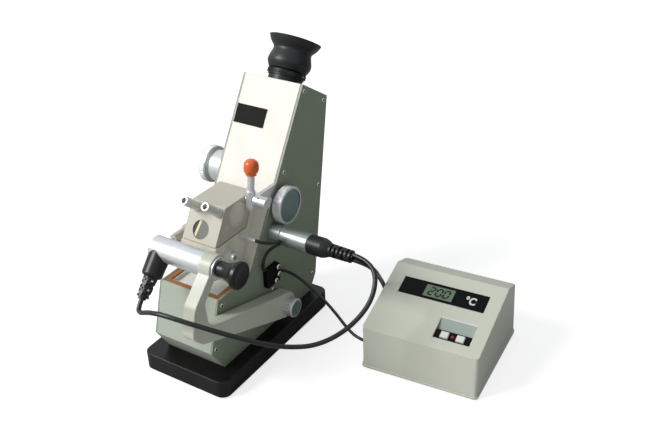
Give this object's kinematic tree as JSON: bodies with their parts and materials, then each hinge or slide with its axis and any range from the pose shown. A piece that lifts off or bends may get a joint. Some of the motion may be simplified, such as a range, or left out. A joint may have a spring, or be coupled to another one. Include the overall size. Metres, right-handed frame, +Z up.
{
  "type": "abbe refractometer",
  "caption": "Bench refractometer with hinged prism box, lamp arm, knobs, eyepiece and a separate digital thermometer.",
  "frame": {"origin": "bench level under the middle of the base plate", "axes": "+X to the measuring knob and thermometer, +Y to the back, +Z up"},
  "size_m": [0.2962, 0.3218, 0.2759],
  "materials": {
    "black_paint": "satin black",
    "rubber": "matt",
    "casting_paint": "fine satin",
    "panel_paint": "satin",
    "alloy": "machined",
    "screw_steel": "bright",
    "black_plate": "matt",
    "tray_plastic": "gloss",
    "gasket_rubber": "amber",
    "box_metal": "satin",
    "prism_glass": "clear",
    "nipple_steel": "bright",
    "satin_silver": "satin",
    "orange_plastic": "gloss",
    "black_metal": "satin",
    "black_plastic": "satin",
    "cord_black": "satin",
    "case_plastic": "satin",
    "window_plastic": "gloss",
    "lcd_glass": "satin",
    "key_plastic": "satin"
  },
  "bodies": {
    "frame": {"base_plate": "black_paint", "rubber_feet": "rubber", "chassis": "alloy", "lower_housing": "casting_paint", "front_panel": "panel_paint", "right_cover": "casting_paint", "left_cover": "casting_paint", "rear_cover": "casting_paint", "cover_screws": "screw_steel", "name_plate": "black_plate", "drip_tray": "tray_plastic", "tray_gasket": "gasket_rubber", "main_prism_block": "box_metal", "main_prism": "prism_glass", "lower_hose_nipples": "nipple_steel", "hinge_base": "box_metal", "hinge_pin": "screw_steel", "lock_bracket": "satin_silver", "telescope_tube": "alloy", "eyepiece_tube": "black_metal", "scale_lamp_tube": "satin_silver", "scale_lamp_plug": "black_plastic", "probe_sleeve": "nipple_steel", "cable_clip": "black_plate", "link_cable": "cord_black", "supply_cable": "cord_black", "supply_coil": "cord_black", "supply_plug": "black_plastic", "probe_cable": "cord_black", "thermometer_case": "case_plastic", "thermometer_base": "case_plastic", "display_window": "window_plastic", "lcd": "lcd_glass", "switch_bezel": "black_plastic"},
    "dioptre_ring": {"dioptre_ring": "black_metal"},
    "eye_cell": {"eye_lens_cell": "black_metal", "eye_lens": "prism_glass", "eyecup": "rubber"},
    "upper_prism": {"upper_prism_box": "box_metal", "illuminating_prism": "prism_glass", "window_glass": "prism_glass", "box_side_plate": "box_metal", "upper_hose_nipples": "nipple_steel"},
    "lock_lever": {"lock_lever": "satin_silver", "lock_ball": "orange_plastic"},
    "light_arm": {"light_arm": "casting_paint", "lamp_housing": "satin_silver", "lamp_plug": "black_plastic"},
    "lamp_knob": {"lamp_knob": "black_plastic", "lamp_shutter": "black_metal"},
    "pivot_knob": {"pivot_knob": "satin_silver"},
    "measuring_knob": {"measuring_knob": "satin_silver", "measuring_shaft": "screw_steel"},
    "scale_sector": {"scale_sector": "alloy"},
    "compensator_knob": {"compensator_knob": "satin_silver", "compensator_shaft": "screw_steel"},
    "upper_cell": {"upper_cell": "alloy"},
    "lower_cell": {"lower_cell": "alloy"},
    "key_left": {"key_left": "key_plastic"},
    "key_right": {"key_right": "key_plastic"}
  },
  "joints": [
    {"name": "dioptre_turn", "type": "hinge", "parent": "frame", "child": "dioptre_ring", "pos_m": [0, 0.09536, 0.22827], "axis": [0, 0.5373, 0.8434], "range_deg": [0, 300]},
    {"name": "eye_cell_slide", "type": "slide", "parent": "frame", "child": "eye_cell", "axis": [0, 0.5373, 0.8434], "range_m": [0, 0.003]},
    {"name": "prism_open", "type": "hinge", "parent": "frame", "child": "upper_prism", "pos_m": [-0.0286, -0.02353, 0.12593], "axis": [0, -0.9999, 0.0122], "range_deg": [0, 110]},
    {"name": "lock_swing", "type": "hinge", "parent": "frame", "child": "lock_lever", "pos_m": [0.0246, 0.00127, 0.15717], "axis": [-1, 0, 0], "range_deg": [0, 35]},
    {"name": "light_arm_swing", "type": "hinge", "parent": "frame", "child": "light_arm", "pos_m": [0.04, 0.016, 0.0415], "axis": [1, 0, 0], "range_deg": [-3, 25], "deforming": ["link_cable"]},
    {"name": "lamp_knob_turn", "type": "hinge", "parent": "light_arm", "child": "lamp_knob", "pos_m": [0.04, -0.076, 0.1355], "axis": [1, 0, 0], "range_deg": [-45, 45]},
    {"name": "pivot_knob_turn", "type": "hinge", "parent": "frame", "child": "pivot_knob", "pos_m": [0.05, 0.016, 0.0415], "axis": [1, 0, 0], "range_deg": [0, 180]},
    {"name": "measuring_turn", "type": "hinge", "parent": "frame", "child": "measuring_knob", "pos_m": [0.04, 0.0339, 0.1397], "axis": [1, 0, 0], "range_deg": [-90, 90]},
    {"name": "sector_turn", "type": "hinge", "parent": "frame", "child": "scale_sector", "pos_m": [0, 0.01477, 0.10176], "axis": [1, 0, 0], "range_deg": [-7.5, 7.5]},
    {"name": "compensator_turn", "type": "hinge", "parent": "frame", "child": "compensator_knob", "pos_m": [-0.04, 0.0472, 0.1526], "axis": [1, 0, 0], "range_deg": [-150, 150]},
    {"name": "upper_cell_turn", "type": "hinge", "parent": "frame", "child": "upper_cell", "pos_m": [0, 0.09536, 0.22827], "axis": [0, 0.5373, 0.8434], "range_deg": [-60, 60]},
    {"name": "lower_cell_turn", "type": "hinge", "parent": "frame", "child": "lower_cell", "pos_m": [0, 0.09536, 0.22827], "axis": [0, 0.5373, 0.8434], "range_deg": [-60, 60]},
    {"name": "key_left_press", "type": "slide", "parent": "frame", "child": "key_left", "axis": [-0.024, 0.2699, -0.9626], "range_m": [0, 0.0012], "stiffness_N_per_m": 300, "springref_m": -0.0015},
    {"name": "key_right_press", "type": "slide", "parent": "frame", "child": "key_right", "axis": [-0.024, 0.2699, -0.9626], "range_m": [0, 0.0012], "stiffness_N_per_m": 300, "springref_m": -0.0015}
  ],
  "couplings": [
    {"joint": "dioptre_turn", "follows": "eye_cell_slide", "rad_per_m": 1745.3},
    {"joint": "sector_turn", "follows": "measuring_turn", "ratio": -0.083333},
    {"joint": "upper_cell_turn", "follows": "compensator_turn", "ratio": 0.4},
    {"joint": "lower_cell_turn", "follows": "compensator_turn", "ratio": -0.4}
  ]
}
